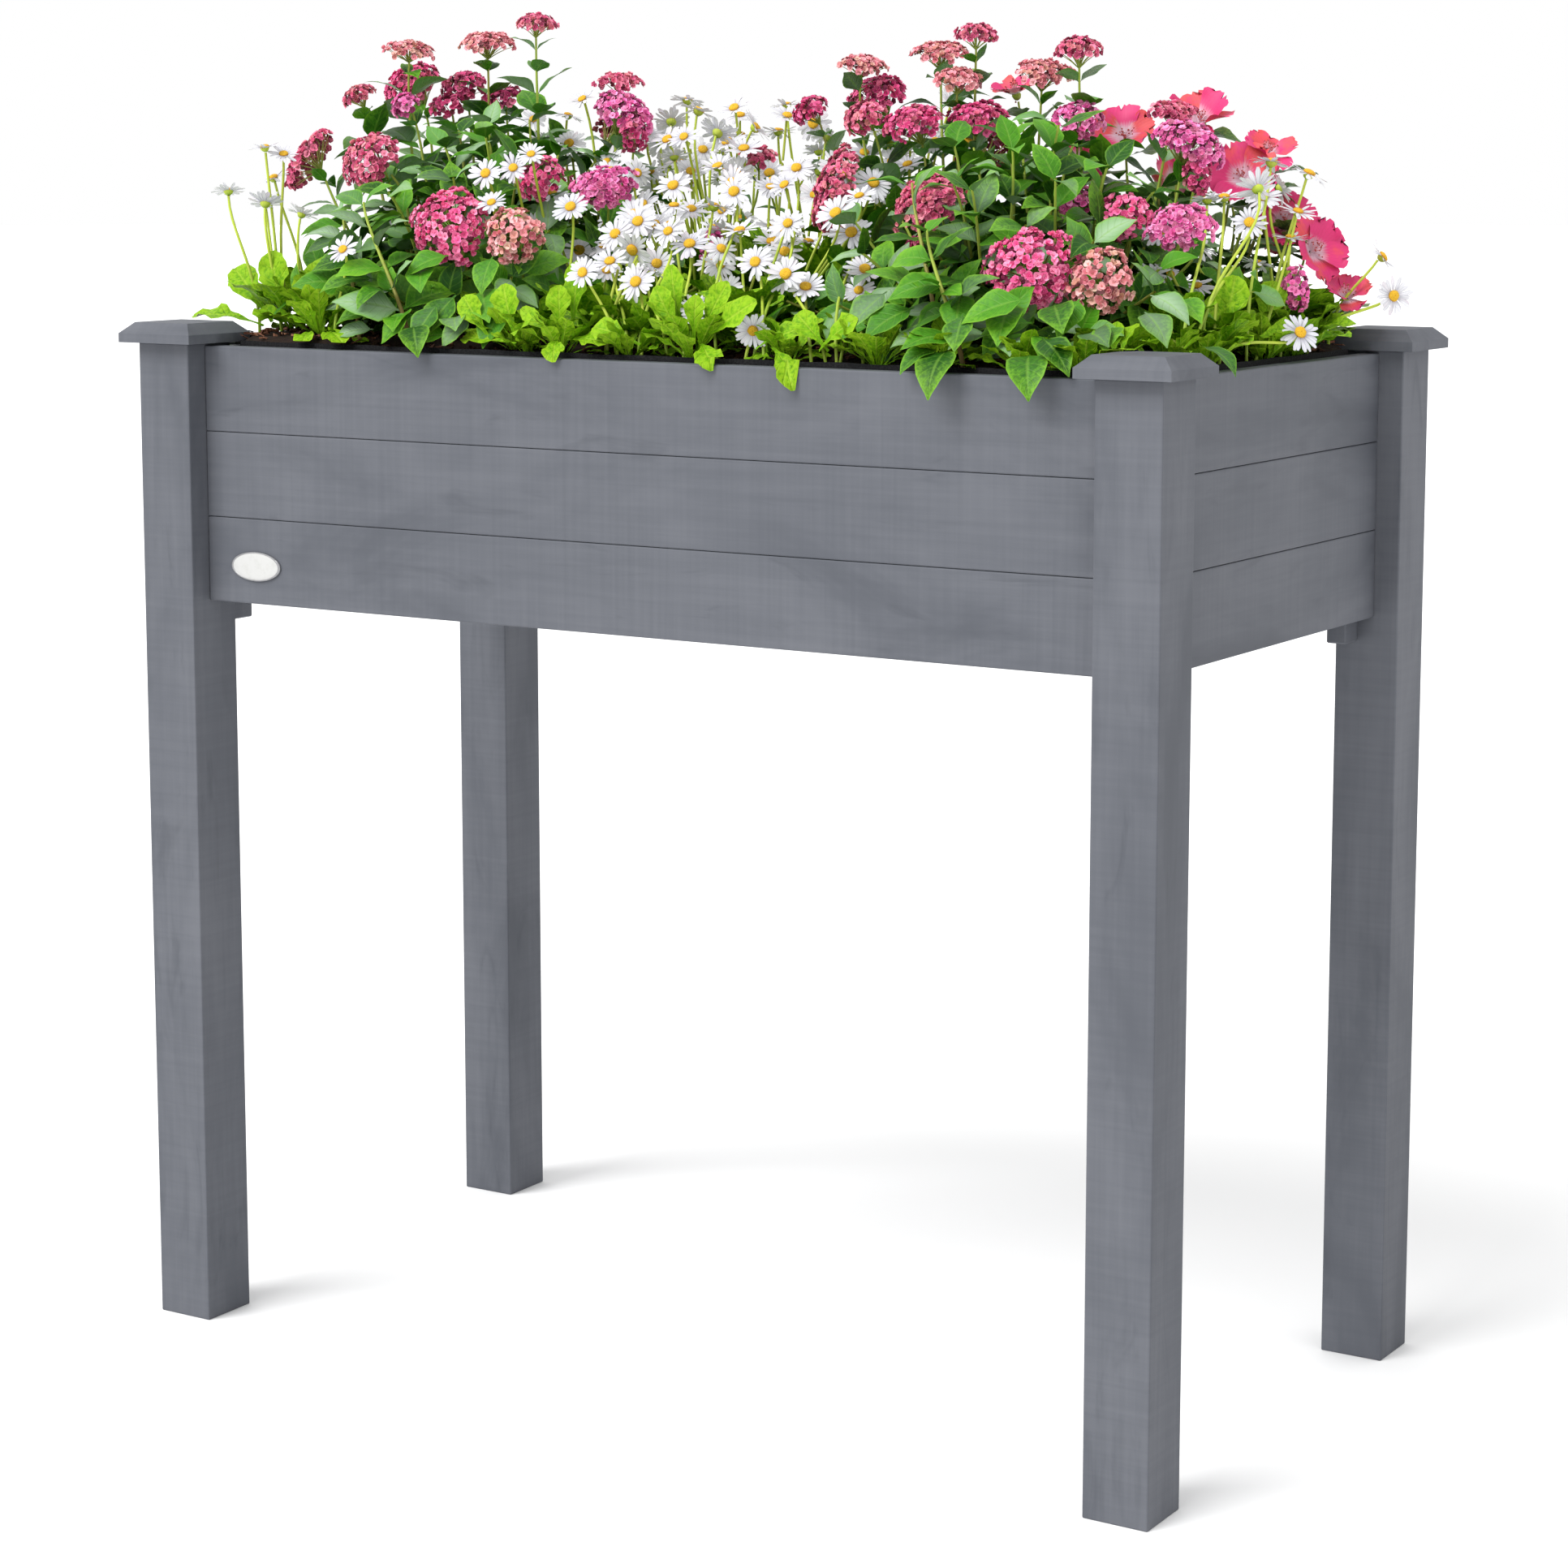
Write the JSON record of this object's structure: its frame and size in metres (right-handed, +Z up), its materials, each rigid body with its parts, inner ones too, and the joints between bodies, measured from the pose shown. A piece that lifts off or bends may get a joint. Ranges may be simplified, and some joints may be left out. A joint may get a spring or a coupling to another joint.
{
  "type": "planted raised bed",
  "caption": "Slate-painted timber planter box on tall square legs with chamfered caps, lined and filled with soil, planted with pink flowering shrubs, white daisies and a red mallow.",
  "frame": {"origin": "on the ground, under the middle of the box (centre of the bounding box's base)", "axes": "+Z up, +X along the long side of the box, -Y the front with the oval plate, Y across the box"},
  "size_m": [0.871, 0.46, 0.9946],
  "materials": {
    "leg": "matte",
    "cap": "matte",
    "long_plank": "matte",
    "end_plank": "matte",
    "batten": "matte",
    "floor": "matte",
    "liner": "matte",
    "soil": "matte",
    "plate": "satin",
    "shrub_leaves": "satin",
    "shrub_flowers": "matte",
    "daisy_plant": "satin",
    "mallow_leaves": "satin",
    "mallow_petals": "satin"
  },
  "bodies": {
    "root": {"back_batten_left": "batten", "back_batten_right": "batten", "back_plank_bottom": "long_plank", "back_plank_middle": "long_plank", "back_plank_top": "long_plank", "daisies_left": "daisy_plant", "daisies_middle": "daisy_plant", "daisies_right": "daisy_plant", "floor_bearer_left": "floor", "floor_bearer_middle": "floor", "floor_bearer_right": "floor", "floor_board_back": "floor", "floor_board_front": "floor", "floor_board_middle": "floor", "floor_edge_board_back": "floor", "floor_edge_board_front": "floor", "front_batten_left": "batten", "front_batten_right": "batten", "front_plank_bottom": "long_plank", "front_plank_middle": "long_plank", "front_plank_top": "long_plank", "hydrangea_left_bush": "shrub_leaves", "hydrangea_left_front_head": "shrub_flowers", "hydrangea_left_pale_head": "shrub_flowers", "hydrangea_left_right_head": "shrub_flowers", "hydrangea_left_side_head": "shrub_flowers", "hydrangea_left_top_head": "shrub_flowers", "hydrangea_left_upper_head": "shrub_flowers", "hydrangea_right_back_head": "shrub_flowers", "hydrangea_right_bush": "shrub_leaves", "hydrangea_right_front_head": "shrub_flowers", "hydrangea_right_pale_head": "shrub_flowers", "hydrangea_right_right_head": "shrub_flowers", "hydrangea_right_side_head": "shrub_flowers", "hydrangea_right_top_head": "shrub_flowers", "hydrangea_right_upper_head": "shrub_flowers", "left_batten_back": "batten", "left_batten_front": "batten", "left_plank_bottom": "end_plank", "left_plank_middle": "end_plank", "left_plank_top": "end_plank", "leg_back_left": "leg", "leg_back_right": "leg", "leg_cap_back_left": "cap", "leg_cap_back_right": "cap", "leg_cap_front_left": "cap", "leg_cap_front_right": "cap", "leg_front_left": "leg", "leg_front_right": "leg", "liner": "liner", "mallow_blossom_left": "mallow_petals", "mallow_blossom_right": "mallow_petals", "mallow_bush": "mallow_leaves", "oval_plate": "plate", "right_batten_back": "batten", "right_batten_front": "batten", "right_plank_bottom": "end_plank", "right_plank_middle": "end_plank", "right_plank_top": "end_plank", "soil": "soil"}
  },
  "joints": []
}
